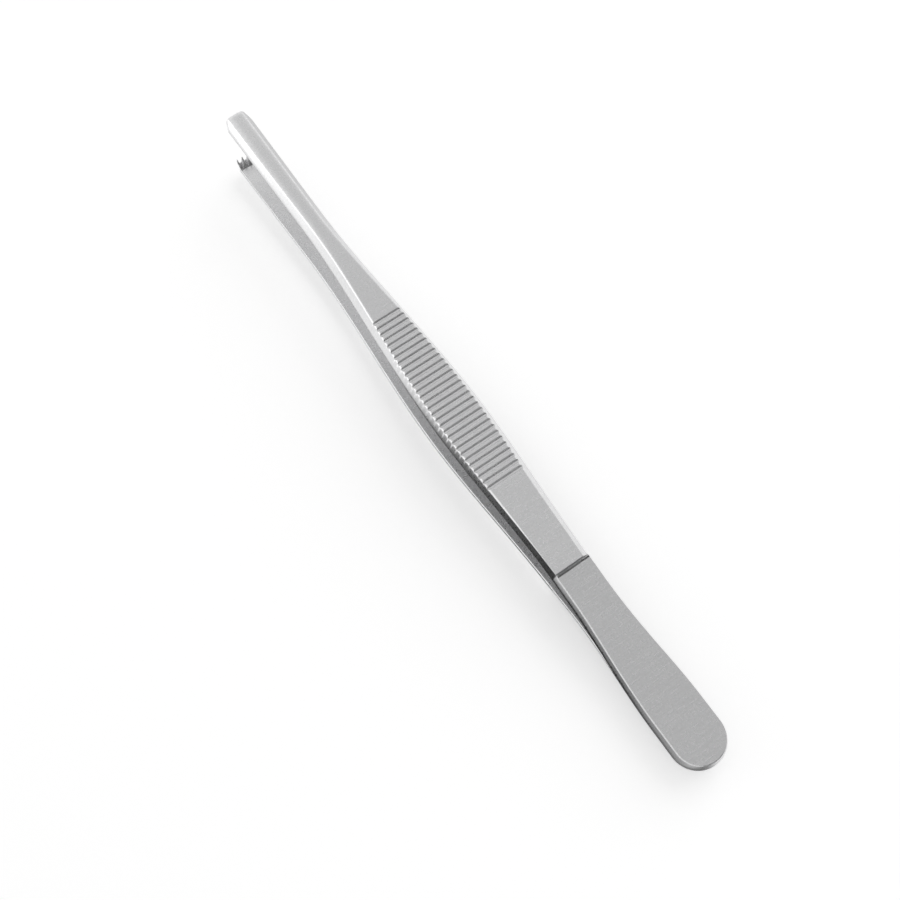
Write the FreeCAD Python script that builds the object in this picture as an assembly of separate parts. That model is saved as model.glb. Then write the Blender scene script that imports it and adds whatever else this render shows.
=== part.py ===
import FreeCAD, Part
import math
import os

# Toothed thumb forceps, in millimetres. Two bowed steel arms lie face to face at the heel, where they
# are welded, and spring apart towards the tips. The forceps lie on the flat of the lower arm's grip.
#
# While an arm is modelled, X runs from the heel end to the tip, Y across the arm, and Z up from the
# middle plane between the arms. The upper arm is modelled, and the lower arm is its mirror image.

# Lengths along the arm, from the heel end
LENGTH = 145.0
WELD_END = 19.0
STEP_AT = 38.9
GRIP_WIDEST_AT = 71.0
SHANK_START = 118.0

# Heel plate: the thin, wide end of an arm
PLATE_THICKNESS = 1.55
PLATE_WIDTH = 9.8
PLATE_BEVEL = 0.4
PLATE_STRAIGHT = 10.0
PLATE_TAPER_END = 34.0
STEP_FILLET = 0.75

# Half of the gap between the arms' inner faces, at five places
HALF_GAP_AT_STEP = 2.3
HALF_GAP_AT_GRIP_HEEL = 3.4
HALF_GAP_AT_GRIP_TIP = 5.0
HALF_GAP_AT_SHANK = 5.75
HALF_GAP_AT_TIP = 6.3

# Blade: the arm from the step to the tip
THICKNESS_AT_STEP = 2.65
THICKNESS_AT_GRIP = 2.5
THICKNESS_AT_SHANK = 2.2
THICKNESS_AT_TIP = 2.0
WIDTH_AT_STEP = 7.5
GRIP_WIDTH_LOSS = 0.1
SHANK_WIDTH = 4.8
TIP_WIDTH = 5.1
BEVEL_AT_STEP = 0.9
BEVEL_AT_GRIP = 0.9
BEVEL_AT_SHANK = 1.05
SIDE_LAND = 0.5

# Cross grooves of the grip
GROOVE_COUNT = 30
GROOVE_PITCH = 1.245
GROOVE_WIDTH = 0.66
GROOVE_DEPTH = 0.3
FIRST_GROOVE_AT = 57.3
GRIP_MARGIN = 1.0

# Tip: corners cut off in plan, and teeth that point at the other arm
TIP_CORNER_LENGTH = 1.6
TIP_CORNER_WIDTH = 0.55
TOOTH_PITCH = 1.14
TOOTH_HEIGHT = 2.5
TOOTH_ROOT_LENGTH = 1.9
TOOTH_CREST_BACK = 1.45
TOOTH_CREST_LENGTH = 0.15
TOOTH_CREST_WIDTH = 0.12
TOOTH_SIDE_CLEARANCE = 0.06
UPPER_TEETH = 4
LOWER_TEETH = 5

# How the forms are cut: sections of a loft, how far a cutting form runs past what it cuts, and how
# close two forms lie where they count as touching
PLATE_SECTION_COUNT = 7
BLADE_SECTION_COUNT = 15
OVERRUN = 1.0
SEAT = 0.3
CLOSENESS = 0.00001

# The grip is nearly as wide as the heel plate, which is the full width of the strip
GRIP_WIDTH = PLATE_WIDTH - GRIP_WIDTH_LOSS

# The grip's flat reaches a little past the grooves at both ends
GRIP_HEEL = FIRST_GROOVE_AT - GRIP_MARGIN
GRIP_TIP = FIRST_GROOVE_AT + (GROOVE_COUNT - 1) * GROOVE_PITCH + GRIP_MARGIN
GRIP_HEEL_TOP = HALF_GAP_AT_GRIP_HEEL + THICKNESS_AT_GRIP
GRIP_TIP_TOP = HALF_GAP_AT_GRIP_TIP + THICKNESS_AT_GRIP
GRIP_SLOPE = math.atan2(GRIP_TIP_TOP - GRIP_HEEL_TOP, GRIP_TIP - GRIP_HEEL)


def ease(x, start, end, first, last):
    """A value that turns smoothly from first to last between two places."""
    share = min(max((x - start) / (end - start), 0.0), 1.0)
    return first + (last - first) * share * share * (3.0 - 2.0 * share)


def plate_half_width(x):
    return ease(x, PLATE_STRAIGHT, PLATE_TAPER_END, PLATE_WIDTH, WIDTH_AT_STEP) / 2.0


def blade_half_width(x):
    if x < GRIP_WIDEST_AT:
        return ease(x, STEP_AT, GRIP_WIDEST_AT, WIDTH_AT_STEP, GRIP_WIDTH) / 2.0
    if x < SHANK_START:
        return ease(x, GRIP_WIDEST_AT, SHANK_START, GRIP_WIDTH, SHANK_WIDTH) / 2.0
    return ease(x, SHANK_START, LENGTH, SHANK_WIDTH, TIP_WIDTH) / 2.0


def blade_bevel(x):
    if x < GRIP_WIDEST_AT:
        return ease(x, STEP_AT, GRIP_WIDEST_AT, BEVEL_AT_STEP, BEVEL_AT_GRIP)
    return ease(x, GRIP_WIDEST_AT, SHANK_START, BEVEL_AT_GRIP, BEVEL_AT_SHANK)


def spline(points, start_slope=None, end_slope=None):
    """A smooth curve through points of the XZ plane, with a given direction at an end."""
    curve = Part.BSplineCurve()
    places = [FreeCAD.Vector(x, 0, z) for x, z in points]
    slopes = [FreeCAD.Vector(0, 0, 0) for _ in places]
    flags = [False] * len(places)
    for index, angle in ((0, start_slope), (-1, end_slope)):
        if angle is not None:
            slopes[index] = FreeCAD.Vector(math.cos(angle), 0, math.sin(angle))
            flags[index] = True
    curve.interpolate(Points=places, Tangents=slopes, TangentFlags=flags, Scale=True)
    return curve


def inner_curve():
    """The inner face behind the weld: it leaves the middle plane and bows outwards to the tip."""
    return spline([(WELD_END, 0.0), (STEP_AT, HALF_GAP_AT_STEP), (GRIP_HEEL, HALF_GAP_AT_GRIP_HEEL),
                   (GRIP_TIP, HALF_GAP_AT_GRIP_TIP), (SHANK_START, HALF_GAP_AT_SHANK),
                   (LENGTH, HALF_GAP_AT_TIP)], start_slope=0.0)


def height_on(curve, x):
    """Height of a curve of the XZ plane at x."""
    upright = Part.Line(FreeCAD.Vector(x, 0, 0), FreeCAD.Vector(x, 0, 1))
    meeting = curve.intersectCC(upright)
    return meeting[0].Z


def segment(start, end):
    return Part.LineSegment(FreeCAD.Vector(start[0], 0, start[1]), FreeCAD.Vector(end[0], 0, end[1]))


def prism(corners, normal, start, depth):
    """A straight prism. Corners are given across the normal, which is 'x', 'y' or 'z'."""
    places = {"x": lambda a, b: FreeCAD.Vector(start, a, b),
              "y": lambda a, b: FreeCAD.Vector(a, start, b),
              "z": lambda a, b: FreeCAD.Vector(a, b, start)}[normal]
    along = {"x": FreeCAD.Vector(depth, 0, 0), "y": FreeCAD.Vector(0, depth, 0),
             "z": FreeCAD.Vector(0, 0, depth)}[normal]
    points = [places(a, b) for a, b in corners]
    return Part.Face(Part.makePolygon(points + points[:1])).extrude(along)


def side_form(inner):
    """The arm seen from its side, made as wide as the widest place: it gives the inner and outer faces."""
    step_top = HALF_GAP_AT_STEP + THICKNESS_AT_STEP
    shank_top = HALF_GAP_AT_SHANK + THICKNESS_AT_SHANK
    tip_top = HALF_GAP_AT_TIP + THICKNESS_AT_TIP
    plate_top = spline([(WELD_END, PLATE_THICKNESS),
                        (STEP_AT - STEP_FILLET,
                         height_on(inner, STEP_AT - STEP_FILLET) + PLATE_THICKNESS)],
                       start_slope=0.0, end_slope=math.atan2(height_on(inner, STEP_AT)
                                                             - height_on(inner, STEP_AT - STEP_FILLET),
                                                             STEP_FILLET))
    fillet_foot = (STEP_AT - STEP_FILLET, plate_top.EndPoint.z)
    fillet_head = (STEP_AT, plate_top.EndPoint.z + STEP_FILLET)
    bow = STEP_FILLET * math.sqrt(0.5)
    fillet = Part.Arc(FreeCAD.Vector(fillet_foot[0], 0, fillet_foot[1]),
                      FreeCAD.Vector(fillet_foot[0] + bow, 0, fillet_head[1] - bow),
                      FreeCAD.Vector(fillet_head[0], 0, fillet_head[1]))
    heel_top = spline([(STEP_AT, step_top), (GRIP_HEEL, GRIP_HEEL_TOP)], end_slope=GRIP_SLOPE)
    tip_side_top = spline([(GRIP_TIP, GRIP_TIP_TOP), (SHANK_START, shank_top), (LENGTH, tip_top)],
                          start_slope=GRIP_SLOPE)
    edges = [segment((0, 0), (0, PLATE_THICKNESS)),
             segment((0, PLATE_THICKNESS), (WELD_END, PLATE_THICKNESS)),
             plate_top, fillet,
             segment(fillet_head, (STEP_AT, step_top)),
             heel_top,
             segment((GRIP_HEEL, GRIP_HEEL_TOP), (GRIP_TIP, GRIP_TIP_TOP)),
             tip_side_top,
             segment((LENGTH, tip_top), (LENGTH, HALF_GAP_AT_TIP)),
             inner,
             segment((WELD_END, 0), (0, 0))]
    outline = Part.Wire(Part.__sortEdges__([edge.toShape() for edge in edges]))
    reach = max(PLATE_WIDTH, GRIP_WIDTH) / 2.0 + OVERRUN
    outline.translate(FreeCAD.Vector(0, -reach, 0))
    return Part.Face(outline).extrude(FreeCAD.Vector(0, 2.0 * reach, 0))


def section(x, base, half_width, bevel, thickness):
    """Cross-section at x: an upright land beside the inner face, then a bevel up past the outer face."""
    lean = bevel / (thickness - SIDE_LAND)
    land_top = base + SIDE_LAND
    above = base + thickness + OVERRUN
    top_half = half_width - lean * (above - land_top)
    side = [(half_width, base - OVERRUN), (half_width, land_top), (top_half, above)]
    corners = side + [(-y, z) for y, z in reversed(side)]
    points = [FreeCAD.Vector(x, y, z) for y, z in corners]
    return Part.makePolygon(points + points[:1])


def evenly(start, end, count):
    return [start + (end - start) * index / (count - 1) for index in range(count)]


def plate_form(inner):
    """Plan and bevels of the heel plate: a straight, tapering stretch behind a round end."""
    radius = PLATE_WIDTH / 2.0
    sections = []
    for x in evenly(radius, STEP_AT, PLATE_SECTION_COUNT):
        base = height_on(inner, x) if x > WELD_END else 0.0
        sections.append(section(x, base, plate_half_width(x), PLATE_BEVEL, PLATE_THICKNESS))
    stretch = Part.makeLoft(sections, True, False)
    lean = PLATE_BEVEL / (PLATE_THICKNESS - SIDE_LAND)
    rise = PLATE_THICKNESS - SIDE_LAND + OVERRUN
    centre = FreeCAD.Vector(radius, 0, 0)
    land = Part.makeCylinder(radius, SIDE_LAND + OVERRUN, centre - FreeCAD.Vector(0, 0, OVERRUN))
    bevel = Part.makeCone(radius, radius - lean * rise, rise, centre + FreeCAD.Vector(0, 0, SIDE_LAND))
    half = Part.makeBox(radius, 2.0 * PLATE_WIDTH, 4.0 * OVERRUN + PLATE_THICKNESS,
                        FreeCAD.Vector(0, -PLATE_WIDTH, -2.0 * OVERRUN))
    return stretch, land.fuse(bevel).common(half)


def thickness_near(x):
    """Thickness of the blade at x, for the lean of its bevels."""
    if x < GRIP_HEEL:
        return ease(x, STEP_AT, GRIP_HEEL, THICKNESS_AT_STEP, THICKNESS_AT_GRIP)
    if x < SHANK_START:
        return ease(x, GRIP_TIP, SHANK_START, THICKNESS_AT_GRIP, THICKNESS_AT_SHANK)
    return ease(x, SHANK_START, LENGTH, THICKNESS_AT_SHANK, THICKNESS_AT_TIP)


def blade_form(inner):
    """Plan and bevels of the blade, from the step to just past the tip."""
    sections = []
    for x in evenly(STEP_AT, LENGTH + OVERRUN, BLADE_SECTION_COUNT):
        base = height_on(inner, min(x, LENGTH))
        sections.append(section(x, base, blade_half_width(x), blade_bevel(x), thickness_near(x)))
    return Part.makeLoft(sections, True, False)


def grooves():
    """Round-bottomed grooves across the outer face of the grip, which run out on the bevels."""
    radius = (GROOVE_WIDTH ** 2 / 4.0 + GROOVE_DEPTH ** 2) / (2.0 * GROOVE_DEPTH)
    lift = radius - GROOVE_DEPTH
    reach = GRIP_WIDTH / 2.0 + OVERRUN
    cutters = []
    for index in range(GROOVE_COUNT):
        along = FIRST_GROOVE_AT + index * GROOVE_PITCH
        face = GRIP_HEEL_TOP + (along - GRIP_HEEL) * math.tan(GRIP_SLOPE)
        start = FreeCAD.Vector(along - lift * math.sin(GRIP_SLOPE), -reach,
                               face + lift * math.cos(GRIP_SLOPE))
        cutters.append(Part.makeCylinder(radius, 2.0 * reach, start, FreeCAD.Vector(0, 1, 0)))
    return cutters


def tip_corners():
    """What is cut off the tip's two corners in plan."""
    half = TIP_WIDTH / 2.0
    slant = TIP_CORNER_WIDTH / TIP_CORNER_LENGTH
    corner = [(LENGTH - TIP_CORNER_LENGTH - OVERRUN, half + slant * OVERRUN),
              (LENGTH + OVERRUN, half - TIP_CORNER_WIDTH - slant * OVERRUN),
              (LENGTH + OVERRUN, half + OVERRUN)]
    height = HALF_GAP_AT_TIP + THICKNESS_AT_TIP + OVERRUN
    return [prism([(x, side * y) for x, y in corner], "z", 0.0, height) for side in (1, -1)]


def tooth(middle, inner):
    """One pointed tooth below the inner face at the tip, with its middle at a given Y."""
    root_x = LENGTH - TOOTH_ROOT_LENGTH
    crest_x = LENGTH - TOOTH_CREST_BACK
    root_z = height_on(inner, root_x)
    crest_z = HALF_GAP_AT_TIP - TOOTH_HEIGHT
    half_root = (TOOTH_PITCH - TOOTH_SIDE_CLEARANCE) / 2.0
    half_crest = TOOTH_CREST_WIDTH / 2.0
    seen_from_side = prism([(root_x, root_z + SEAT), (root_x, root_z), (crest_x, crest_z),
                            (crest_x + TOOTH_CREST_LENGTH, crest_z), (LENGTH, HALF_GAP_AT_TIP),
                            (LENGTH, root_z + SEAT)],
                           "y", middle - TOOTH_PITCH, 2.0 * TOOTH_PITCH)
    seen_from_end = prism([(middle - half_root, root_z + SEAT), (middle - half_root, root_z),
                           (middle - half_crest, crest_z), (middle + half_crest, crest_z),
                           (middle + half_root, root_z), (middle + half_root, root_z + SEAT)],
                          "x", root_x, TOOTH_ROOT_LENGTH)
    within_arm = Part.makeBox(2.0 * TOOTH_ROOT_LENGTH, TIP_WIDTH, HALF_GAP_AT_TIP + SEAT,
                              FreeCAD.Vector(root_x - TOOTH_ROOT_LENGTH / 2.0, -TIP_WIDTH / 2.0, 0))
    return seen_from_side.common(seen_from_end).common(within_arm)


def arm(teeth):
    """The upper arm, with a row of teeth spread evenly about its middle."""
    inner = inner_curve()
    side = side_form(inner)
    stretch, round_end = plate_form(inner)
    plate = side.common([stretch], CLOSENESS).fuse(side.common([round_end], CLOSENESS))
    blade = side.common([blade_form(inner)], CLOSENESS).cut(grooves())
    row = [tooth((index - (teeth - 1) / 2.0) * TOOTH_PITCH, inner) for index in range(teeth)]
    whole = plate.fuse([blade] + row).cut(tip_corners())
    return whole.removeSplitter()


def lay_down(shape):
    """Turn an arm so that the lower arm's grip lies flat on the floor, at Z = 0."""
    laid = shape.copy()
    laid.rotate(FreeCAD.Vector(0, 0, 0), FreeCAD.Vector(0, 1, 0), -math.degrees(GRIP_SLOPE))
    drop = GRIP_HEEL_TOP * math.cos(GRIP_SLOPE) - GRIP_HEEL * math.sin(GRIP_SLOPE)
    laid.translate(FreeCAD.Vector(0, 0, drop))
    return laid


def main():
    os.makedirs("parts", exist_ok=True)
    middle_plane = FreeCAD.Vector(0, 0, 1)
    pieces = {"upper_arm": lay_down(arm(UPPER_TEETH)),
              "lower_arm": lay_down(arm(LOWER_TEETH).mirror(FreeCAD.Vector(0, 0, 0), middle_plane))}
    box = Part.makeCompound(list(pieces.values())).optimalBoundingBox(False, False)
    for name, shape in pieces.items():
        shape.translate(FreeCAD.Vector(-box.Center.x, 0, 0))
        shape.exportStep("parts/%s.step" % name)
        print(name, "valid", shape.isValid(), "solids", len(shape.Solids), "faces", len(shape.Faces),
              "volume %.1f" % shape.Volume)
    print("box %.3f x %.3f x %.3f, heel end at X %.4f" % (box.XLength, box.YLength, box.ZLength,
                                                         -box.Center.x))


main()
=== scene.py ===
"""Toothed thumb forceps in satin stainless steel, dressed in a plain white studio.

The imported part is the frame. Each arm is modelled again with softened edges and finished steel,
stands for its solid and rides on the part's one body.
"""

import logging
import math
from dataclasses import dataclass, field
from enum import Enum

import bmesh
import bpy
import numpy as np
from mathutils import Euler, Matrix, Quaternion, Vector


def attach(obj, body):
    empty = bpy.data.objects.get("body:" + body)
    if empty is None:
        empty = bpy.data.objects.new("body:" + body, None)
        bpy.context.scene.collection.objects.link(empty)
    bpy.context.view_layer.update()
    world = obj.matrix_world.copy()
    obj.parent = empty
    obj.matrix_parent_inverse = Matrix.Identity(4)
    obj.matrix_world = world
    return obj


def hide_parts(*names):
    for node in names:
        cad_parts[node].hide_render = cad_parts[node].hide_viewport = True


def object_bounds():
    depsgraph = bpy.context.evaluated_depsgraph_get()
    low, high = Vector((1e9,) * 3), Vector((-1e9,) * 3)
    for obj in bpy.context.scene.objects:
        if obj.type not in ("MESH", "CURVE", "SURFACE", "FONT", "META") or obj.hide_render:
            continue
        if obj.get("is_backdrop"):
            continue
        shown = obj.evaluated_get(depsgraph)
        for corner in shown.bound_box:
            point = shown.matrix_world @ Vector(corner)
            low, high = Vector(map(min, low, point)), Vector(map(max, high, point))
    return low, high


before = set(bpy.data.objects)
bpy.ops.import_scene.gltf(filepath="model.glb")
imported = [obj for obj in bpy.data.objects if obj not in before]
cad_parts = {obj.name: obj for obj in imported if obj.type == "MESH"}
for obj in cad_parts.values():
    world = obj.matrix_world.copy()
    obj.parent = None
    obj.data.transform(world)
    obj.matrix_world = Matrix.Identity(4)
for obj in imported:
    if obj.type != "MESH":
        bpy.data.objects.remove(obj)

MM = 0.001
ROOT_BODY = "root"
WHITE = (1.0, 1.0, 1.0, 1.0)

# An arm is made in millimetres and scaled to metres at the end, so this is in millimetres too.
MERGE_DISTANCE = 0.0005

log = logging.getLogger("forceps")

Point = tuple[float, float]
Place = tuple[float, float, float]
Colour = tuple[float, float, float]


def ease(x: float, start: float, end: float, first: float, last: float) -> float:
    """Turn smoothly from one value to another between two places.

    Args:
        x: The place that the value is for.
        start: Where the change begins.
        end: Where the change is over.
        first: The value up to start.
        last: The value from end on.

    Returns:
        The value at x.
    """
    share = min(max((x - start) / (end - start), 0.0), 1.0)
    return first + (last - first) * share * share * (3.0 - 2.0 * share)


def evenly(start: float, end: float, spacing: float) -> list[float]:
    """Places from just after start up to end, about a spacing apart.

    Args:
        start: Where the stretch begins; it isn't in the list.
        end: Where the stretch ends; it is the last place.
        spacing: The widest step between two places.

    Returns:
        The places in order.
    """
    count = max(1, math.ceil((end - start) / spacing))
    return [start + (end - start) * (index + 1) / count for index in range(count)]


class Curve:
    """A smooth cubic line through points of an arm's side view."""

    def __init__(self, points: list[Point], start_slope: float | None = None,
                 end_slope: float | None = None) -> None:
        """Work out the slopes at the points.

        Args:
            points: Places along the arm and heights there, in order.
            start_slope: The slope at the first point, or None for an end that is free.
            end_slope: The slope at the last point, or None for an end that is free.
        """
        self.along = [x for x, _ in points]
        self.heights = [z for _, z in points]
        last = len(points) - 1
        steps = np.diff(self.along)
        rises = np.diff(self.heights) / steps
        matrix = np.zeros((last + 1, last + 1))
        right = np.zeros(last + 1)
        for row in range(1, last):
            before, after = 1.0 / steps[row - 1], 1.0 / steps[row]
            matrix[row, row - 1: row + 2] = before, 2.0 * (before + after), after
            right[row] = 3.0 * (rises[row - 1] * before + rises[row] * after)
        for row, inside, slope in ((0, 1, start_slope), (last, last - 1, end_slope)):
            if slope is None:
                matrix[row, row], matrix[row, inside] = 2.0, 1.0
                right[row] = 3.0 * rises[min(row, last - 1)]
            else:
                matrix[row, row], right[row] = 1.0, slope
        self.slopes = np.linalg.solve(matrix, right)

    def at(self, x: float) -> float:
        """Height of the line at a place along the arm.

        Args:
            x: The place.

        Returns:
            The height.
        """
        span = min(max(int(np.searchsorted(self.along, x)) - 1, 0), len(self.along) - 2)
        step = self.along[span + 1] - self.along[span]
        share = (x - self.along[span]) / step
        ease_in = share * share * (3.0 - 2.0 * share)
        leave = share * (1.0 - share) ** 2 * step * self.slopes[span]
        arrive = share * share * (share - 1.0) * step * self.slopes[span + 1]
        return self.heights[span] * (1.0 - ease_in) + self.heights[span + 1] * ease_in + leave + arrive


class Arm(Enum):
    """The two arms, with the number of teeth at the tip and the side of the middle plane."""

    UPPER = ("upper_arm", 4, 1.0)
    LOWER = ("lower_arm", 5, -1.0)

    @property
    def node(self) -> str:
        """Name of the solid that the arm stands for."""
        return self.value[0]

    @property
    def teeth(self) -> int:
        """Number of teeth at the tip."""
        return self.value[1]

    @property
    def side(self) -> float:
        """Which way the arm's outer face looks: 1 is up and -1 is down."""
        return self.value[2]


@dataclass(frozen=True)
class ArmSizes:
    """Sizes of an arm in millimetres, measured from the heel end and from the middle plane."""

    length: float = 145.0
    weld_end: float = 19.0
    step_at: float = 38.9
    grip_widest_at: float = 71.0
    shank_start: float = 118.0
    plate_thickness: float = 1.55
    plate_width: float = 9.8
    plate_bevel: float = 0.4
    plate_straight: float = 10.0
    plate_taper_end: float = 34.0
    step_fillet: float = 0.75
    half_gap_at_step: float = 2.3
    half_gap_at_grip_heel: float = 3.4
    half_gap_at_grip_tip: float = 5.0
    half_gap_at_shank: float = 5.75
    half_gap_at_tip: float = 6.3
    thickness_at_step: float = 2.65
    thickness_at_grip: float = 2.5
    thickness_at_shank: float = 2.2
    thickness_at_tip: float = 2.0
    width_at_step: float = 7.5
    grip_width: float = 9.7
    shank_width: float = 4.8
    tip_width: float = 5.1
    bevel_at_step: float = 0.9
    bevel_at_grip: float = 0.9
    bevel_at_shank: float = 1.05
    bevel_skew: float = 0.42
    skew_end: float = 95.0
    side_land: float = 0.5
    groove_count: int = 30
    groove_pitch: float = 1.245
    groove_width: float = 0.66
    groove_depth: float = 0.3
    groove_lip: float = 0.16
    first_groove_at: float = 57.3
    grip_margin: float = 1.0
    tip_corner_length: float = 1.6
    tip_corner_width: float = 0.55
    tooth_pitch: float = 1.14
    tooth_height: float = 2.5
    tooth_root_length: float = 1.9
    tooth_crest_back: float = 0.85
    tooth_crest_length: float = 0.15
    tooth_crest_width: float = 0.12
    tooth_shoulder: float = 0.25
    tooth_hollow: float = 0.4
    inner_edge: float = 0.22
    land_edge: float = 1.3
    plate_skew: float = 0.2
    plate_edge: float = 0.2
    plate_edge_skew: float = 0.12
    step_edge: float = 0.04
    grip_edge: float = 0.48
    shank_edge: float = 0.55
    shank_crown: float = 0.28
    end_edge: float = 0.15

    @property
    def grip_heel(self) -> float:
        """Where the grip's flat begins."""
        return self.first_groove_at - self.grip_margin

    @property
    def grip_tip(self) -> float:
        """Where the grip's flat ends."""
        return self.first_groove_at + (self.groove_count - 1) * self.groove_pitch + self.grip_margin

    @property
    def grip_heel_top(self) -> float:
        """Height of the grip's flat where it begins."""
        return self.half_gap_at_grip_heel + self.thickness_at_grip

    @property
    def grip_tip_top(self) -> float:
        """Height of the grip's flat where it ends."""
        return self.half_gap_at_grip_tip + self.thickness_at_grip

    @property
    def grip_slope(self) -> float:
        """Angle of the grip's flat to the middle plane, in radians."""
        return math.atan2(self.grip_tip_top - self.grip_heel_top, self.grip_tip - self.grip_heel)


@dataclass
class Station:
    """A place along an arm where it gets a cross-section.

    Args:
        along: The distance from the heel end.
        top: The height of the outer face.
        cut: How deep a groove or the step lies below that face here.
        inset: How far a rounded end has drawn the section in.
    """

    along: float
    top: float
    cut: float = 0.0
    inset: float = 0.0


def arc(centre: Point, radius: float, first: float, last: float, segments: int) -> list[Point]:
    """Points of a round stretch.

    Args:
        centre: The arc's centre.
        radius: The arc's radius.
        first: The angle of the first point, in radians.
        last: The angle of the last point, in radians.
        segments: The number of straight pieces that the arc is made of.

    Returns:
        The points, both ends included.
    """
    angles = [first + (last - first) * index / segments for index in range(segments + 1)]
    return [(centre[0] + radius * math.cos(a), centre[1] + radius * math.sin(a)) for a in angles]


def softened(corner: Point, before: Point, after: Point, radius: float, segments: int) -> list[Point]:
    """Points of a rounded corner.

    Args:
        corner: The sharp corner.
        before: A point on the side that comes before it.
        after: A point on the side that comes after it.
        radius: The radius of the rounding.
        segments: The number of straight pieces in it.

    Returns:
        The points, both tangent points included.
    """
    middle = Vector(corner)
    back = (Vector(before) - middle).normalized()
    on = (Vector(after) - middle).normalized()
    half_angle = back.angle(on) / 2.0
    centre = middle + (back + on).normalized() * (radius / math.sin(half_angle))
    reach = radius / math.tan(half_angle)
    start = middle + back * reach - centre
    end = middle + on * reach - centre
    first = math.atan2(start.y, start.x)
    sweep = (math.atan2(end.y, end.x) - first + math.pi) % (2.0 * math.pi) - math.pi
    return arc(tuple(centre), radius, first, first + sweep, segments)


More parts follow.
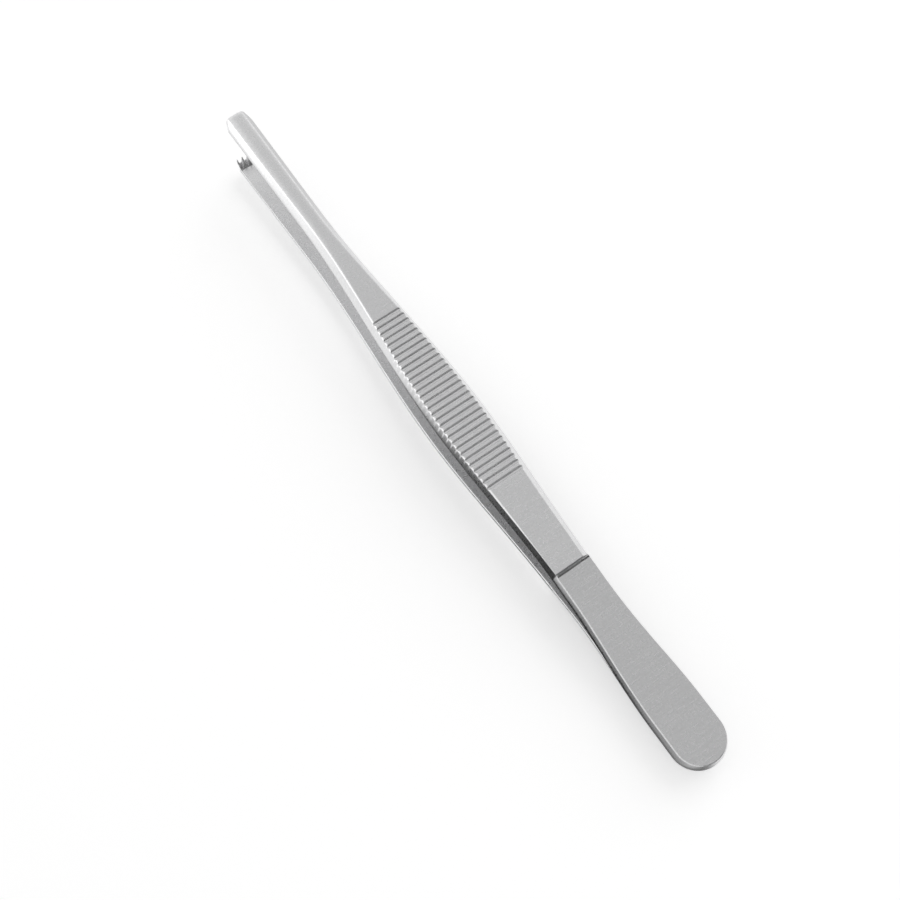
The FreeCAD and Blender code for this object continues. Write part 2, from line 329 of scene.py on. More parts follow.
class ArmForm:
    """The lines and cross-sections that an arm's surface follows."""

    COLUMNS = 5
    CROWN_COLUMNS = 5
    EDGE_SEGMENTS = 3
    SHOULDER_SEGMENTS = 8
    CUT_SEGMENTS = 4
    SPACING = 0.9

    def __init__(self, sizes: ArmSizes) -> None:
        """Work out the arm's lines.

        Args:
            sizes: The arm's sizes.
        """
        self.sizes = z = sizes
        slope = math.tan(z.grip_slope)
        self.inner = Curve([(z.weld_end, 0.0), (z.step_at, z.half_gap_at_step),
                            (z.grip_heel, z.half_gap_at_grip_heel),
                            (z.grip_tip, z.half_gap_at_grip_tip),
                            (z.shank_start, z.half_gap_at_shank),
                            (z.length, z.half_gap_at_tip)], start_slope=0.0)
        self.fillet_at = z.step_at - z.step_fillet
        fillet_foot = self.base(self.fillet_at) + z.plate_thickness
        foot_slope = (self.base(z.step_at) - self.base(self.fillet_at)) / z.step_fillet
        self.plate_top = Curve([(z.weld_end, z.plate_thickness), (self.fillet_at, fillet_foot)],
                               start_slope=0.0, end_slope=foot_slope)
        self.heel_top = Curve([(z.step_at, z.half_gap_at_step + z.thickness_at_step),
                               (z.grip_heel, z.grip_heel_top)], end_slope=slope)
        self.shank_top = Curve([(z.grip_tip, z.grip_tip_top),
                                (z.shank_start, z.half_gap_at_shank + z.thickness_at_shank),
                                (z.length, z.half_gap_at_tip + z.thickness_at_tip)],
                               start_slope=slope)

    def base(self, x: float) -> float:
        """Height of the inner face at a place along the arm."""
        return self.inner.at(x) if x > self.sizes.weld_end else 0.0

    def half_width(self, x: float) -> float:
        """Half of the arm's width at a place along it.

        Args:
            x: The place.

        Returns:
            The half width, without the cut corners of the tip.
        """
        z = self.sizes
        if x < z.step_at:
            return ease(x, z.plate_straight, z.plate_taper_end, z.plate_width, z.width_at_step) / 2.0
        if x < z.grip_widest_at:
            return ease(x, z.step_at, z.grip_widest_at, z.width_at_step, z.grip_width) / 2.0
        if x < z.shank_start:
            return ease(x, z.grip_widest_at, z.shank_start, z.grip_width, z.shank_width) / 2.0
        return ease(x, z.shank_start, z.length, z.shank_width, z.tip_width) / 2.0

    def lean(self, x: float, side: float) -> float:
        """How far the bevel runs in for each millimetre that it rises, at a place along the arm.

        Args:
            x: The place along the arm.
            side: Which side the bevel is on: 1 is the side of positive Y and -1 the other. The
                arm is ground by hand, wider on one side of the plate and on the other of the blade.

        Returns:
            The run for a rise of 1.
        """
        z = self.sizes
        if x < z.step_at:
            return (z.plate_bevel + side * z.plate_skew) / (z.plate_thickness - z.side_land)
        if x < z.grip_widest_at:
            bevel = ease(x, z.step_at, z.grip_widest_at, z.bevel_at_step, z.bevel_at_grip)
        else:
            bevel = ease(x, z.grip_widest_at, z.shank_start, z.bevel_at_grip, z.bevel_at_shank)
        bevel -= side * ease(x, z.step_at, z.skew_end, z.bevel_skew, 0.0)
        if x < z.grip_heel:
            thickness = ease(x, z.step_at, z.grip_heel, z.thickness_at_step, z.thickness_at_grip)
        elif x < z.shank_start:
            thickness = ease(x, z.grip_tip, z.shank_start, z.thickness_at_grip, z.thickness_at_shank)
        else:
            thickness = ease(x, z.shank_start, z.length, z.thickness_at_shank, z.thickness_at_tip)
        return bevel / (thickness - z.side_land)

    def shoulder(self, x: float, side: float) -> float:
        """Radius of the edge between the bevel and the outer face.

        Args:
            x: The place along the arm.
            side: Which side the edge is on: 1 is the side of positive Y and -1 the other.

        Returns:
            The radius.
        """
        z = self.sizes
        if x < z.step_at:
            return z.plate_edge + side * z.plate_edge_skew
        if x < z.grip_widest_at:
            return ease(x, z.step_at, z.grip_heel, z.step_edge, z.grip_edge)
        return ease(x, z.grip_tip, z.shank_start, z.grip_edge, z.shank_edge)

    def section(self, station: Station, side: float = 1.0) -> list[Point]:
        """Half of the cross-section at a station.

        Args:
            station: The place along the arm.
            side: Which half it is: 1 is the side of positive Y and -1 the other.

        Returns:
            Points across the arm and up, from the middle of the inner face round the side to the
            middle of the outer face.
        """
        z = self.sizes
        base, lean = self.base(station.along), self.lean(station.along, side)
        cut_from = z.length - z.tip_corner_length
        slant = max(0.0, station.along - cut_from) * z.tip_corner_width / z.tip_corner_length
        half = self.half_width(station.along) - slant - station.inset
        land_top = base + z.side_land + slant / lean
        top_half = half - lean * (station.top - land_top)
        crown = ease(station.along, z.grip_tip, z.shank_start, 0.0, z.shank_crown)
        roof_slope = crown / top_half
        corners = [(0.0, base), (half, base), (half, land_top),
                   (top_half, station.top - crown / 2.0), (0.0, station.top + crown / 2.0)]
        rounding = [(z.inner_edge, self.EDGE_SEGMENTS), (z.land_edge, self.EDGE_SEGMENTS),
                    (self.shoulder(station.along, side), self.SHOULDER_SEGMENTS)]
        column = z.tooth_pitch * half / z.tip_width
        points = [(column * index, base) for index in range(self.COLUMNS)]
        for index, (radius, segments) in enumerate(rounding):
            before, corner, after = corners[index:index + 3]
            points += softened(corner, before, after, radius, segments)
        flat_half, flat_top = points[-1]
        for index in range(1, self.CROWN_COLUMNS + 1):
            share = 1.0 - index / self.CROWN_COLUMNS
            bow = roof_slope * flat_half / 2.0 * (1.0 - share * share)
            points.append((flat_half * share, flat_top + bow))
        level = station.top - station.cut
        return [(across, min(up, level)) for across, up in points]

    def groove_line(self) -> list[Point]:
        """Half of a groove's section, from its middle out to the flat.

        Returns:
            Distances from the groove's middle and depths below the flat.
        """
        z = self.sizes
        radius = (z.groove_width ** 2 / 4.0 + z.groove_depth ** 2) / (2.0 * z.groove_depth)
        lift = radius - z.groove_depth
        lip_at = math.sqrt((radius + z.groove_lip) ** 2 - (lift + z.groove_lip) ** 2)
        meeting = math.atan2(lift + z.groove_lip, lip_at)
        hollow = arc((0.0, -lift), radius, math.pi / 2.0, meeting, self.CUT_SEGMENTS)
        lip = arc((lip_at, z.groove_lip), z.groove_lip, meeting + math.pi, math.pi * 1.5,
                  self.EDGE_SEGMENTS)
        return hollow + lip[1:]

    def grip_stations(self) -> list[Station]:
        """Stations of the grip, whose outer face has the cross grooves.

        Returns:
            The stations in order.
        """
        z = self.sizes
        half_line = self.groove_line()
        line = [(-x, depth) for x, depth in reversed(half_line)] + half_line[1:]
        slope = math.tan(z.grip_slope)
        stations = []
        for index in range(z.groove_count):
            middle = z.first_groove_at + index * z.groove_pitch
            for offset, depth in line:
                along = middle + offset + depth * math.sin(z.grip_slope)
                flat = z.grip_heel_top + (along - z.grip_heel) * slope
                stations.append(Station(along, flat, cut=depth / math.cos(z.grip_slope)))
        stations.append(Station(z.grip_tip, z.grip_tip_top))
        return stations

    def step_stations(self) -> list[Station]:
        """Stations of the step, from the fillet at its foot to the softened edge at its top.

        Returns:
            The stations in order.
        """
        z = self.sizes
        foot = self.plate_top.at(self.fillet_at)
        fillet = arc((self.fillet_at, foot + z.step_fillet), z.step_fillet, -math.pi / 2.0, 0.0,
                     2 * self.CUT_SEGMENTS)
        crown = self.heel_top.at(z.step_at + z.step_edge)
        edge = arc((z.step_at + z.step_edge, crown - z.step_edge), z.step_edge, math.pi,
                   math.pi / 2.0, self.EDGE_SEGMENTS)
        plate_side = [Station(along, top) for along, top in fillet[1:-1]]
        return plate_side + [Station(z.step_at, crown, cut=crown - fillet[-1][1])] + [
            Station(along, crown, cut=crown - top) for along, top in edge]

    def stations(self) -> list[Station]:
        """All stations from the round heel end to the tip.

        Returns:
            The stations in order.
        """
        z = self.sizes
        found = [Station(x, z.plate_thickness)
                 for x in evenly(z.plate_width / 2.0, z.weld_end, self.SPACING)]
        found += [Station(x, self.plate_top.at(x))
                  for x in evenly(z.weld_end, self.fillet_at, self.SPACING)]
        found += self.step_stations()
        found += [Station(x, self.heel_top.at(x))
                  for x in evenly(z.step_at + z.step_edge, z.grip_heel, self.SPACING)]
        found += self.grip_stations()
        root = z.length - z.tooth_root_length
        corner = z.length - z.tip_corner_length
        end = z.length - z.end_edge
        for start, stop in ((z.grip_tip, root), (root, corner), (corner, end)):
            found += [Station(x, self.shank_top.at(x)) for x in evenly(start, stop, self.SPACING)]
        crown = self.shank_top.at(end)
        for along, top in arc((end, crown - z.end_edge), z.end_edge, math.pi / 2.0, 0.0,
                              self.EDGE_SEGMENTS)[1:]:
            found.append(Station(along, top, inset=crown - top))
        return found


@dataclass
class ForcepsArm:
    """One arm of the forceps: heel plate, grip, shank and toothed tip in one piece.

    Args:
        arm: Which of the two arms it is.
        sizes: The arm's sizes.
        heel_end: Where the heel end lies along X in the frame, in metres.
        heel_steps: The number of steps that the round heel end is spun in.
        sharp_angle: The angle between two faces past which their edge is shaded sharp, in radians.
    """

    arm: Arm
    sizes: ArmSizes
    heel_end: float
    heel_steps: int = 32
    sharp_angle: float = math.radians(38.0)
    form: ArmForm = field(init=False)

    def __post_init__(self) -> None:
        """Prepare the lines that the surface follows."""
        self.form = ArmForm(self.sizes)

    def place(self, vert: bmesh.types.BMVert, sections: tuple[list[Point], list[Point]],
              along: float, layer: bmesh.types.BMLayerItem) -> None:
        """Move a vertex of a cross-section to its place at a station.

        Args:
            vert: The vertex.
            sections: The two half sections at the station, that of positive Y first.
            along: The station's place along the arm.
            layer: The layer that says which point of the section the vertex is.
        """
        index = vert[layer]
        across, up = sections[index < 0][abs(index)]
        vert.co = (along, math.copysign(across, index), up)

    def round_heel(self, bm: bmesh.types.BMesh, layer: bmesh.types.BMLayerItem) -> None:
        """Spin half of the plate's section about the middle of the round heel end.

        Args:
            bm: The mesh that is being made.
            layer: The layer that says which point of the section a vertex is.
        """
        z = self.sizes
        radius = z.plate_width / 2.0
        station = Station(radius, z.plate_thickness)
        section, far_section = self.form.section(station, 1.0), self.form.section(station, -1.0)
        line = []
        for index, (across, up) in enumerate(section):
            vert = bm.verts.new((radius, across, up))
            vert[layer] = index
            line.append(vert)
        edges = [bm.edges.new(pair) for pair in zip(line, line[1:])]
        spun = bmesh.ops.spin(bm, geom=line + edges, cent=(radius, 0.0, 0.0), axis=(0.0, 0.0, 1.0),
                              angle=math.pi, steps=self.heel_steps, use_merge=False)
        for vert in bm.verts:
            reach = Vector((radius - vert.co.x, vert.co.y))
            share = math.atan2(reach.x, reach.y) / math.pi if reach.length > MERGE_DISTANCE else 0.0
            spot = Vector(section[vert[layer]]).lerp(Vector(far_section[vert[layer]]), abs(share))
            if reach.length > MERGE_DISTANCE:
                reach *= spot.x / reach.length
            vert.co = (radius - reach.x, reach.y, spot.y)
        last = len(section) - 1
        for vert in spun["geom_last"]:
            if isinstance(vert, bmesh.types.BMVert) and 0 < vert[layer] < last:
                vert[layer] = -vert[layer]
        bmesh.ops.remove_doubles(bm, verts=bm.verts, dist=MERGE_DISTANCE)

    def run_to_tip(self, bm: bmesh.types.BMesh, layer: bmesh.types.BMLayerItem) -> None:
        """Extrude the plate's section station by station to the tip, and close the end.

        Args:
            bm: The mesh that is being made.
            layer: The layer that says which point of the section a vertex is.
        """
        rim = [edge for edge in bm.edges if edge.is_boundary]
        for station in self.form.stations():
            sections = (self.form.section(station, 1.0), self.form.section(station, -1.0))
            grown = bmesh.ops.extrude_edge_only(bm, edges=rim)["geom"]
            rim = [item for item in grown if isinstance(item, bmesh.types.BMEdge)]
            for vert in grown:
                if isinstance(vert, bmesh.types.BMVert):
                    self.place(vert, sections, station.along, layer)
        bmesh.ops.contextual_create(bm, geom=rim)

    def tooth_faces(self, bm: bmesh.types.BMesh, layer: bmesh.types.BMLayerItem,
                    middle: int) -> list[bmesh.types.BMFace]:
        """Faces of the inner side at the tip that lie under one tooth.

        Args:
            bm: The mesh that is being made.
            layer: The layer that says which point of the section a vertex is.
            middle: The column that the tooth's middle lies on, counted in half pitches.

        Returns:
            The faces.
        """
        root = self.sizes.length - self.sizes.tooth_root_length
        edge = self.form.COLUMNS

        def under(vert: bmesh.types.BMVert) -> bool:
            """Whether a vertex lies under this tooth."""
            beside = abs(vert[layer]) <= edge and abs(vert[layer] - middle) <= 1
            return beside and vert.co.x > root - MERGE_DISTANCE

        return [face for face in bm.faces if len(face.verts) == 4 and all(map(under, face.verts))]

    def grow_tooth(self, bm: bmesh.types.BMesh, layer: bmesh.types.BMLayerItem, middle: int,
                   faces: list[bmesh.types.BMFace]) -> None:
        """Draw one tooth out of the inner face at the tip.

        Args:
            bm: The mesh that is being made.
            layer: The layer that says which point of the section a vertex is.
            middle: The column that the tooth's middle lies on, counted in half pitches.
            faces: The faces that lie under it.
        """
        z = self.sizes
        half_root = z.tooth_pitch / 2.0
        mid_y = middle * half_root
        limit = z.tip_width / 2.0 - z.inner_edge
        for level in (z.tooth_shoulder, 1.0):
            narrowed = level ** z.tooth_hollow
            grown = bmesh.ops.extrude_face_region(bm, geom=faces)["geom"]
            bmesh.ops.delete(bm, geom=faces, context="FACES")
            faces = [item for item in grown if isinstance(item, bmesh.types.BMFace)]
            verts = [item for item in grown if isinstance(item, bmesh.types.BMVert)]
            back, front = min(vert.co.x for vert in verts), max(vert.co.x for vert in verts)
            for vert in verts:
                share = max(-1.0, min(1.0, float(vert[layer] - middle)))
                length = (vert.co.x - back) / (front - back)
                crest = Vector((z.length - z.tooth_crest_back + z.tooth_crest_length * length,
                                mid_y + share * z.tooth_crest_width / 2.0,
                                z.half_gap_at_tip - z.tooth_height))
                widest = Vector((vert.co.x, mid_y + share * half_root, vert.co.z))
                spot = widest.lerp(crest, narrowed)
                spot.z = widest.z + (crest.z - widest.z) * level
                spot.y = max(-limit, min(limit, spot.y))
                vert.co = spot

    def mesh(self) -> bpy.types.Mesh:
        """Make the arm's whole mesh, in place in the frame.

        Returns:
            The mesh.
        """
        z = self.sizes
        bm = bmesh.new()
        layer = bm.verts.layers.int.new("section_point")
        self.round_heel(bm, layer)
        self.run_to_tip(bm, layer)
        middles = [2 * index - self.arm.teeth + 1 for index in range(self.arm.teeth)]
        under = [self.tooth_faces(bm, layer, middle) for middle in middles]
        for middle, faces in zip(middles, under):
            self.grow_tooth(bm, layer, middle, faces)
        bmesh.ops.remove_doubles(bm, verts=bm.verts, dist=MERGE_DISTANCE)
        sine, cosine = math.sin(z.grip_slope), math.cos(z.grip_slope)
        drop = z.grip_heel_top * cosine - z.grip_heel * sine
        for vert in bm.verts:
            along, across, up = vert.co
            up *= self.arm.side
            vert.co = (self.heel_end + MM * (along * cosine - up * sine), MM * across,
                       MM * (along * sine + up * cosine + drop))
        bmesh.ops.recalc_face_normals(bm, faces=bm.faces)
        for face in bm.faces:
            face.smooth = True
        for edge in bm.edges:
            if len(edge.link_faces) == 2 and edge.calc_face_angle() > self.sharp_angle:
                edge.smooth = False
        bm.verts.layers.int.remove(layer)
        mesh = bpy.data.meshes.new(self.arm.node + "_steel")
        bm.to_mesh(mesh)
        bm.free()
        return mesh

    def build(self, steel: bpy.types.Material) -> bpy.types.Object:
        """Make the arm, dress it and let it stand for its solid.

        Args:
            steel: The arm's finish.

        Returns:
            The finished object.
        """
        piece = bpy.data.objects.new(self.arm.node + "_steel", self.mesh())
        bpy.context.scene.collection.objects.link(piece)
        piece.data.materials.append(steel)
        weighted = piece.modifiers.new("even_shading", "WEIGHTED_NORMAL")
        weighted.keep_sharp = True
        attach(piece, ROOT_BODY)
        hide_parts(self.arm.node)
        return piece


@dataclass(frozen=True)
class SatinSteel:
    """Satin stainless steel with fine lines brushed across the arms, and painted shade that makes it
    darker on the heel plates.

    Args:
        step_at: Where the heel plates end along X in the frame, in metres.
    """

    step_at: float
    name: str = "satin_steel"
    dark: Colour = (0.72, 0.72, 0.725)
    light: Colour = (0.82, 0.82, 0.825)
    smoothest: float = 0.25
    roughest: float = 0.35
    lines: Place = (5200.0, 240.0, 900.0)
    line_detail: float = 3.0
    grain: Place = (2600.0, 2600.0, 2600.0)
    grain_detail: float = 1.0
    noise_low: float = 0.7
    noise_high: float = 1.3
    relief: float = 0.12
    relief_height: float = 0.00001
    # Painted shade: the share of the steel's colour that is left on the heel plates, which darkens
    # them.
    plate_painted_shade_tone: float = 0.88
    plate_edge: float = 0.0001

    def noise(self, tree: bpy.types.NodeTree, scale: Place, detail: float) -> bpy.types.NodeSocket:
        """A noise over the arm's own coordinates.

        Args:
            tree: The node tree.
            scale: How fine the noise is along each axis, in cells per metre.
            detail: The number of finer noises added to it.

        Returns:
            The noise's value.
        """
        place = tree.nodes.new("ShaderNodeTexCoord")
        spread = tree.nodes.new("ShaderNodeMapping")
        spread.inputs["Scale"].default_value = scale
        made = tree.nodes.new("ShaderNodeTexNoise")
        made.inputs["Scale"].default_value = 1.0
        made.inputs["Detail"].default_value = detail
        tree.links.new(place.outputs["Object"], spread.inputs["Vector"])
        tree.links.new(spread.outputs["Vector"], made.inputs["Vector"])
        return made.outputs[0]

    def painted_plate_shade(self, tree: bpy.types.NodeTree) -> bpy.types.NodeSocket:
        """Make the share of the steel's colour that is left, which is less on the heel plates, where
        it paints shade.

        Args:
            tree: The node tree.

        Returns:
            The share.
        """
        place = tree.nodes.new("ShaderNodeTexCoord")
        parts = tree.nodes.new("ShaderNodeSeparateXYZ")
        shade = tree.nodes.new("ShaderNodeMapRange")
        shade.inputs["From Min"].default_value = self.step_at - self.plate_edge
        shade.inputs["From Max"].default_value = self.step_at
        shade.inputs["To Min"].default_value = self.plate_painted_shade_tone
        tree.links.new(place.outputs["Object"], parts.inputs["Vector"])
        tree.links.new(parts.outputs["X"], shade.inputs["Value"])
        return shade.outputs["Result"]

    def material(self) -> bpy.types.Material:
        """Make the finish as a node material.

        Returns:
            The material.
        """
        made = bpy.data.materials.new(self.name)
        made.use_nodes = True
        tree = made.node_tree
        shader = tree.nodes["Principled BSDF"]
        shader.inputs["Metallic"].default_value = 1.0
        together = tree.nodes.new("ShaderNodeMath")
        together.operation = "ADD"
        lines = self.noise(tree, self.lines, self.line_detail)
        tree.links.new(lines, together.inputs[0])
        tree.links.new(self.noise(tree, self.grain, self.grain_detail), together.inputs[1])
        tone = tree.nodes.new("ShaderNodeMix")
        tone.data_type = "RGBA"
        tone.inputs["A"].default_value = (*self.dark, 1.0)
        tone.inputs["B"].default_value = (*self.light, 1.0)
        gloss = tree.nodes.new("ShaderNodeMapRange")
        share = tree.nodes.new("ShaderNodeMapRange")
        for node, low, high in ((gloss, self.roughest, self.smoothest), (share, 0.0, 1.0)):
            node.inputs["From Min"].default_value = self.noise_low
            node.inputs["From Max"].default_value = self.noise_high
            node.inputs["To Min"].default_value = low
            node.inputs["To Max"].default_value = high
            tree.links.new(together.outputs[0], node.inputs["Value"])
        relief = tree.nodes.new("ShaderNodeBump")
        relief.inputs["Strength"].default_value = self.relief
        relief.inputs["Distance"].default_value = self.relief_height
        shade = tree.nodes.new("ShaderNodeVectorMath")
        shade.operation = "MULTIPLY"
        tree.links.new(share.outputs["Result"], tone.inputs["Factor"])
        tree.links.new(tone.outputs["Result"], shade.inputs[0])
        # The heel plates get painted shade: the steel's colour is multiplied down there.
        tree.links.new(self.painted_plate_shade(tree), shade.inputs[1])
        tree.links.new(shade.outputs["Vector"], shader.inputs["Base Color"])
        tree.links.new(gloss.outputs["Result"], shader.inputs["Roughness"])
        tree.links.new(lines, relief.inputs["Height"])
        tree.links.new(relief.outputs["Normal"], shader.inputs["Normal"])
        return made


def placed(name: str, bm: bmesh.types.BMesh) -> bpy.types.Object:
    """Turn a mesh that is being made into an object of the scene.

    Args:
        name: The object's name.
        bm: The mesh, which is used up.

    Returns:
        The object.
    """
    mesh = bpy.data.meshes.new(name)
    bm.to_mesh(mesh)
    bm.free()
    made = bpy.data.objects.new(name, mesh)
    bpy.context.scene.collection.objects.link(made)
    return made


def facing_middle(place: Place) -> Quaternion:
    """The turn of something at a place that looks at the middle of the object."""
    return (-Vector(place)).to_track_quat("-Z", "Y")


@dataclass(frozen=True)
class Card:
    """A square card that looks at the middle of the object and shows only in the steel.

    Args:
        name: The card's name.
        place: Where it hangs, in metres.
        size: The length of its side, in metres.
        tone: How bright it is, where 1 is white.
    """

    name: str
    place: Place
    size: float
    tone: float

    def build(self) -> None:
        """Make the card and hang it."""
        bm = bmesh.new()
        bmesh.ops.create_grid(bm, x_segments=1, y_segments=1, size=self.size / 2.0)
        turn = facing_middle(self.place).to_matrix()
        bmesh.ops.rotate(bm, verts=bm.verts, cent=(0.0, 0.0, 0.0), matrix=turn)
        bmesh.ops.translate(bm, verts=bm.verts, vec=self.place)
        made = placed(self.name, bm)
        made.visible_camera = False
        made.visible_diffuse = False
        made.visible_shadow = False
        paint = bpy.data.materials.new(self.name)
        paint.use_nodes = True
        tree = paint.node_tree
        tree.nodes.clear()
        out = tree.nodes.new("ShaderNodeOutputMaterial")
        glow = tree.nodes.new("ShaderNodeEmission")
        glow.inputs["Strength"].default_value = self.tone
        tree.links.new(glow.outputs[0], out.inputs["Surface"])
        made.data.materials.append(paint)
        made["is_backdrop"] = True


@dataclass(frozen=True)
class Lamp:
    """A square soft lamp that looks at the middle of the object.

    Args:
        name: The lamp's name.
        place: Where it hangs, in metres.
        size: The length of its side, in metres.
        power: Its power in watts.
        mirrored: Whether the steel mirrors it.
    """

    name: str
    place: Place
    size: float
    power: float
    mirrored: bool

    def build(self) -> None:
        """Make the lamp and hang it."""
        data = bpy.data.lights.new(self.name, "AREA")
        data.size = self.size
        data.energy = self.power
        lamp = bpy.data.objects.new(self.name, data)
        lamp.location = self.place
        lamp.rotation_euler = facing_middle(self.place).to_euler()
        lamp.visible_glossy = self.mirrored
        bpy.context.scene.collection.objects.link(lamp)


@dataclass(frozen=True)
class FloorShade:
    """An oval of painted shade in the floor as the steel mirrors it, which darkens the arms'
    reflections, as a painted shadow beside them.

    Args:
        place: The X and Y of its middle, in metres.
        reach: How far it reaches along X and Y, in metres.
        tone: How bright the floor is in it, where 1 is white.
        full_to: The share of the reach up to which the oval has its full tone.
        gone_at: The share of the reach from which the floor is white again.
    """

    place: Point
    reach: Point
    tone: float
    full_to: float = 0.8
    gone_at: float = 1.5

    def socket(self, tree: bpy.types.NodeTree) -> bpy.types.NodeSocket:
        """Make the floor's brightness in and around the oval.

        Args:
            tree: The node tree.

        Returns:
            The brightness.
        """
        place = tree.nodes.new("ShaderNodeTexCoord")
        oval = tree.nodes.new("ShaderNodeMapping")
        oval.vector_type = "TEXTURE"
        oval.inputs["Location"].default_value = (*self.place, 0.0)
        oval.inputs["Scale"].default_value = (*self.reach, 1.0)
        away = tree.nodes.new("ShaderNodeVectorMath")
        away.operation = "LENGTH"
        spread = tree.nodes.new("ShaderNodeMapRange")
        spread.interpolation_type = "SMOOTHSTEP"
        spread.inputs["From Min"].default_value = self.full_to
        spread.inputs["From Max"].default_value = self.gone_at
        spread.inputs["To Min"].default_value = self.tone
        tree.links.new(place.outputs["Object"], oval.inputs["Vector"])
        tree.links.new(oval.outputs["Vector"], away.inputs[0])
        tree.links.new(away.outputs["Value"], spread.inputs["Value"])
        return spread.outputs["Result"]


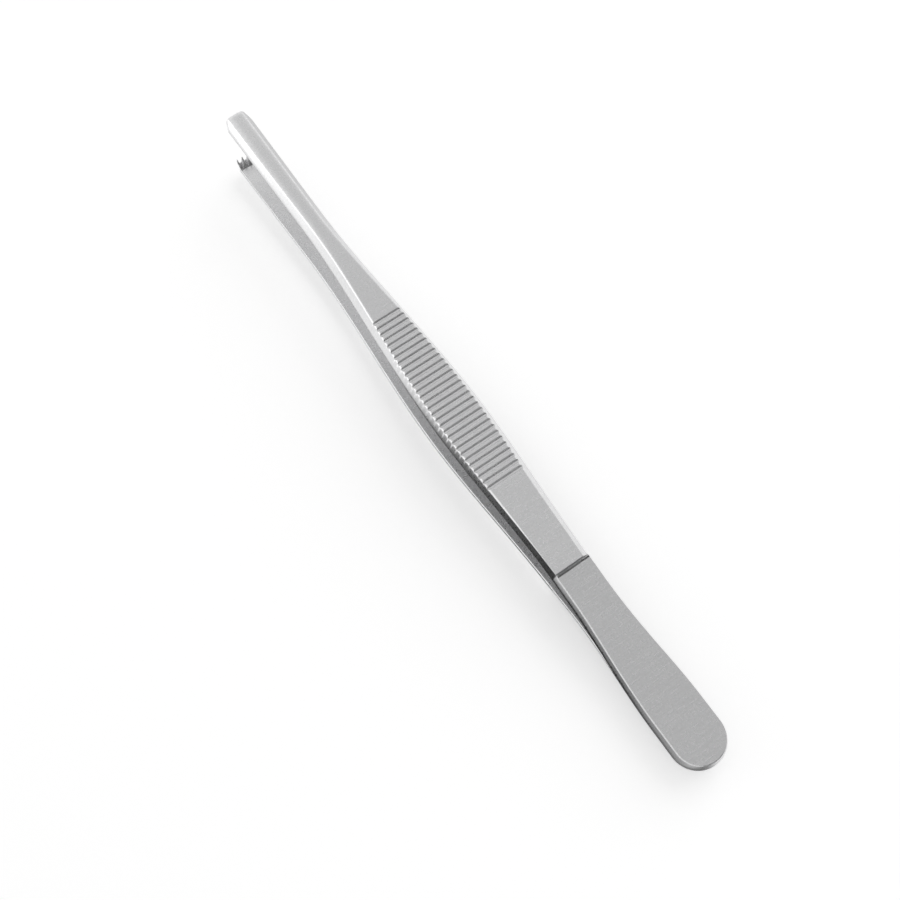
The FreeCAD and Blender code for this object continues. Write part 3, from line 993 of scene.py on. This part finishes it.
@dataclass(frozen=True)
class Studio:
    """A white floor in a white surround, with soft lamps, and cards that show only in the steel."""

    floor_size: float = 6.0
    floor_drop: float = 0.00002
    floor_colour: float = 0.85
    floor_glow: float = 0.42
    world_light: float = 0.55
    world_shown: float = 1.0
    # Ovals of painted shade, which darken the floor only where the steel mirrors it.
    blade_shade: FloorShade = FloorShade((-0.02, 0.01), (0.036, 0.016), 0.04)
    side_shade: FloorShade = FloorShade((-0.012, 0.0045), (0.075, 0.0055), 0.2)
    tip_shade: FloorShade = FloorShade((0.085, -0.05), (0.036, 0.03), 0.72)
    heel_shade: FloorShade = FloorShade((-0.058, 0.026), (0.024, 0.018), 0.35)
    overhead_card: Card = Card("overhead_card", (0.06, -0.1, 0.45), 0.54, 0.61)
    heel_card: Card = Card("heel_card", (-0.42, -0.1, 0.22), 0.5, 0.04)
    key_lamp: Lamp = Lamp("key_lamp", (0.12, -0.6, 0.4), 0.75, 1.8, mirrored=False)
    tip_lamp: Lamp = Lamp("tip_lamp", (0.35, 0.6, 0.12), 0.4, 0.5, mirrored=True)

    def build(self) -> None:
        """Set up the whole studio."""
        self.surround()
        self.floor()
        for thing in (self.overhead_card, self.heel_card, self.key_lamp, self.tip_lamp):
            thing.build()

    def seen_directly(self, tree: bpy.types.NodeTree) -> bpy.types.NodeSocket:
        """Make a value that is 1 for camera, glossy and transmission rays, and 0 for the rest.

        Args:
            tree: The node tree.

        Returns:
            The value.
        """
        path = tree.nodes.new("ShaderNodeLightPath")
        total = path.outputs["Is Camera Ray"]
        for name in ("Is Glossy Ray", "Is Transmission Ray"):
            either = tree.nodes.new("ShaderNodeMath")
            either.operation = "MAXIMUM"
            tree.links.new(total, either.inputs[0])
            tree.links.new(path.outputs[name], either.inputs[1])
            total = either.outputs[0]
        return total

    def surround(self) -> None:
        """Make a world that is white where it is seen and soft where it lights."""
        world = bpy.data.worlds.new("surround")
        bpy.context.scene.world = world
        world.use_nodes = True
        tree = world.node_tree
        tree.nodes.clear()
        out = tree.nodes.new("ShaderNodeOutputWorld")
        mix = tree.nodes.new("ShaderNodeMixShader")
        light = tree.nodes.new("ShaderNodeBackground")
        shown = tree.nodes.new("ShaderNodeBackground")
        for node, strength in ((light, self.world_light), (shown, self.world_shown)):
            node.inputs["Color"].default_value = WHITE
            node.inputs["Strength"].default_value = strength
        tree.links.new(self.seen_directly(tree), mix.inputs["Fac"])
        tree.links.new(light.outputs[0], mix.inputs[1])
        tree.links.new(shown.outputs[0], mix.inputs[2])
        tree.links.new(mix.outputs[0], out.inputs["Surface"])

    def mirrored_floor(self, tree: bpy.types.NodeTree) -> bpy.types.NodeSocket:
        """Make the floor as the steel mirrors it: white, but darker in the ovals of painted shade.

        Args:
            tree: The node tree.

        Returns:
            The shader.
        """
        shaded = self.blade_shade.socket(tree)
        for shade in (self.side_shade, self.tip_shade, self.heel_shade):
            both = tree.nodes.new("ShaderNodeMath")
            both.operation = "MULTIPLY"
            tree.links.new(shaded, both.inputs[0])
            tree.links.new(shade.socket(tree), both.inputs[1])
            shaded = both.outputs[0]
        glow = tree.nodes.new("ShaderNodeEmission")
        tree.links.new(shaded, glow.inputs["Strength"])
        return glow.outputs[0]

    def floor_paint(self) -> bpy.types.Material:
        """Make the floor's paint, which glows a little for the camera so that it is white.

        Returns:
            The material.
        """
        paint = bpy.data.materials.new("floor_white")
        paint.use_nodes = True
        tree = paint.node_tree
        tree.nodes.clear()
        out = tree.nodes.new("ShaderNodeOutputMaterial")
        matt = tree.nodes.new("ShaderNodeBsdfDiffuse")
        matt.inputs["Color"].default_value = (*(self.floor_colour,) * 3, 1.0)
        glow = tree.nodes.new("ShaderNodeEmission")
        glow.inputs["Strength"].default_value = self.floor_glow
        both = tree.nodes.new("ShaderNodeAddShader")
        path = tree.nodes.new("ShaderNodeLightPath")
        shown = tree.nodes.new("ShaderNodeMixShader")
        mirrored = tree.nodes.new("ShaderNodeMixShader")
        tree.links.new(matt.outputs[0], both.inputs[0])
        tree.links.new(glow.outputs[0], both.inputs[1])
        tree.links.new(path.outputs["Is Camera Ray"], shown.inputs["Fac"])
        tree.links.new(matt.outputs[0], shown.inputs[1])
        tree.links.new(both.outputs[0], shown.inputs[2])
        tree.links.new(path.outputs["Is Glossy Ray"], mirrored.inputs["Fac"])
        tree.links.new(shown.outputs[0], mirrored.inputs[1])
        tree.links.new(self.mirrored_floor(tree), mirrored.inputs[2])
        tree.links.new(mirrored.outputs[0], out.inputs["Surface"])
        return paint

    def floor(self) -> None:
        """Make a wide floor that is white where nothing shades it."""
        bm = bmesh.new()
        bmesh.ops.create_grid(bm, x_segments=1, y_segments=1, size=self.floor_size / 2.0)
        bmesh.ops.translate(bm, verts=bm.verts, vec=(0.0, 0.0, -self.floor_drop))
        floor = placed("floor", bm)
        floor.data.materials.append(self.floor_paint())
        floor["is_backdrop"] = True


@dataclass(frozen=True)
class PhotoCamera:
    """The camera of the picture, above the heel end and beside the arms.

    Args:
        place: Where it is, in metres.
        turn: Its turn about X, Y and Z, in degrees.
        lens: Its focal length in millimetres.
        sensor: The width of its sensor in millimetres.
        near: The distance from which it sees, in metres.
    """

    place: Place = (-0.08321, 0.04794, 0.21546)
    turn: Place = (23.338, 2.447, -124.749)
    lens: float = 52.05
    sensor: float = 36.0
    near: float = 0.001

    def build(self) -> None:
        """Make the camera and look through it."""
        data = bpy.data.cameras.new("camera")
        data.lens = self.lens
        data.sensor_width = self.sensor
        data.clip_start = self.near
        camera = bpy.data.objects.new("camera", data)
        camera.location = self.place
        camera.rotation_euler = Euler([math.radians(angle) for angle in self.turn])
        bpy.context.scene.collection.objects.link(camera)
        bpy.context.scene.camera = camera


def corners(box: tuple[Vector, Vector]) -> list[list[float]]:
    """A box's two corners as plain lists."""
    return [list(corner) for corner in box]


def main() -> None:
    """Build the forceps and the studio."""
    logging.basicConfig(level=logging.INFO, format="%(name)s: %(message)s")
    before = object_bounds()
    bpy.context.scene.view_settings.view_transform = "Standard"
    sizes = ArmSizes()
    heel_end = before[0].x + MM * sizes.side_land * math.sin(sizes.grip_slope)
    step_at = heel_end + MM * sizes.step_at * math.cos(sizes.grip_slope)
    steel = SatinSteel(step_at).material()
    for arm in Arm:
        piece = ForcepsArm(arm, sizes, heel_end).build(steel)
        log.info("%s stands for %s with %d faces", piece.name, arm.node, len(piece.data.polygons))
    Studio().build()
    PhotoCamera().build()


if __name__ == "__main__":
    main()
